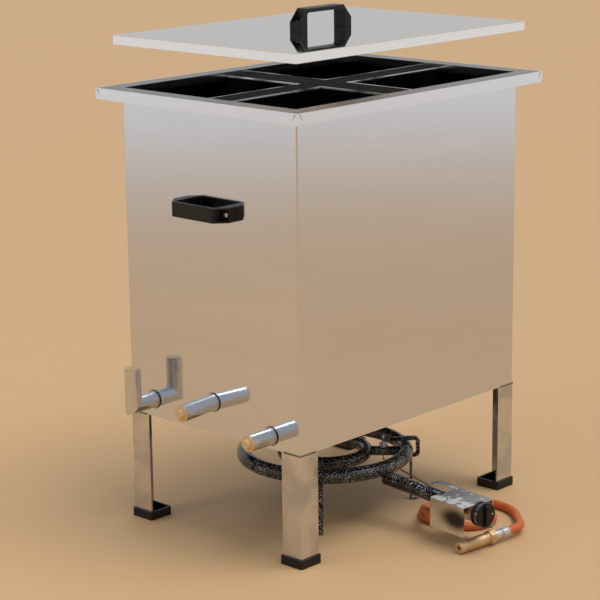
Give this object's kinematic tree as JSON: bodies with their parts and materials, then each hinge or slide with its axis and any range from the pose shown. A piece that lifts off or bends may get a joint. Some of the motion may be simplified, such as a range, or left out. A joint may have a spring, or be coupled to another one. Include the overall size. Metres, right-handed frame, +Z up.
{
  "type": "wax melter",
  "caption": "Tall stainless steam wax melter on angle legs with a lift-off lid, closed outlet pipes and a ring gas burner with hose beneath",
  "frame": {"origin": "on the floor under the middle of the tank", "axes": "+Z up, -Y towards the face with the outlet pipes, +X towards the burner's control box"},
  "size_m": [0.5935, 0.6543, 0.8452],
  "materials": {
    "stainless": "brushed",
    "black_plastic": "satin",
    "zinc_plated": "satin",
    "wood": "turned, unfinished",
    "speckled_enamel": "gloss enamel",
    "bright_sheet": "bright",
    "brass": "satin",
    "copper": "satin",
    "steel": "turned",
    "chrome": "polished",
    "orange_hose": "satin"
  },
  "bodies": {
    "tank": {"tank_shell": "stainless", "tank_floor": "stainless", "rim_frame": "stainless", "leg_front_left": "stainless", "leg_front_right": "stainless", "leg_rear_left": "stainless", "leg_rear_right": "stainless", "foot_front_left": "black_plastic", "foot_front_right": "black_plastic", "foot_rear_left": "black_plastic", "foot_rear_right": "black_plastic", "wax_tray": "stainless", "tray_walls": "stainless", "tray_rails": "stainless", "comb_grids": "stainless", "grid_runners": "stainless", "grid_ledges": "stainless", "steam_cross": "stainless", "wax_outlet": "stainless", "drain_pipe": "stainless", "filler_elbow": "stainless", "front_handle": "black_plastic", "rear_handle": "black_plastic", "carry_handle_screws": "zinc_plated"},
    "lid": {"lid_panel": "stainless", "lid_edge": "stainless", "lid_handle": "black_plastic", "lid_handle_screws": "zinc_plated"},
    "filler_stopper": {"filler_stopper": "wood"},
    "wax_stopper": {"wax_stopper": "wood"},
    "drain_stopper": {"drain_stopper": "wood"},
    "burner": {"outer_ring": "speckled_enamel", "inner_ring": "speckled_enamel", "ring_spokes": "speckled_enamel", "feed_pipe": "speckled_enamel", "pan_support_1": "speckled_enamel", "pan_support_2": "speckled_enamel", "pan_support_3": "speckled_enamel", "control_box": "bright_sheet", "injector": "brass", "valve_body": "brass", "inlet_elbow": "brass", "inlet_sleeve": "zinc_plated", "thermocouple": "copper", "probe_bracket": "bright_sheet", "thermocouple_lead": "copper", "gas_hose": "orange_hose", "hose_ferrule": "brass", "union_nut": "brass", "hose_connector": "brass"},
    "valve_stem": {"valve_stem": "steel"},
    "knob": {"knob": "black_plastic", "knob_bezel": "chrome"}
  },
  "joints": [
    {"name": "lid_lift", "type": "slide", "parent": "tank", "child": "lid", "axis": [0, 0, 1], "range_m": [-0.069, 0.25]},
    {"name": "filler_stopper_pull", "type": "slide", "parent": "tank", "child": "filler_stopper", "axis": [0, 0, 1], "range_m": [0, 0.04]},
    {"name": "wax_stopper_pull", "type": "slide", "parent": "tank", "child": "wax_stopper", "axis": [0, -0.999, -0.0454], "range_m": [0, 0.04]},
    {"name": "drain_stopper_pull", "type": "slide", "parent": "tank", "child": "drain_stopper", "axis": [0, -1, 0], "range_m": [0, 0.04]},
    {"name": "burner_slide", "type": "slide", "parent": "tank", "child": "burner", "axis": [1, 0, 0], "range_m": [0, 0.4]},
    {"name": "knob_turn", "type": "hinge", "parent": "burner", "child": "valve_stem", "pos_m": [0.32143, -0.02314, 0.065], "axis": [0.9937, -0.1118, 0], "range_deg": [0, 180]},
    {"name": "knob_push", "type": "slide", "parent": "valve_stem", "child": "knob", "axis": [-0.9937, 0.1118, 0], "range_m": [0, 0.003], "stiffness_N_per_m": 600}
  ]
}
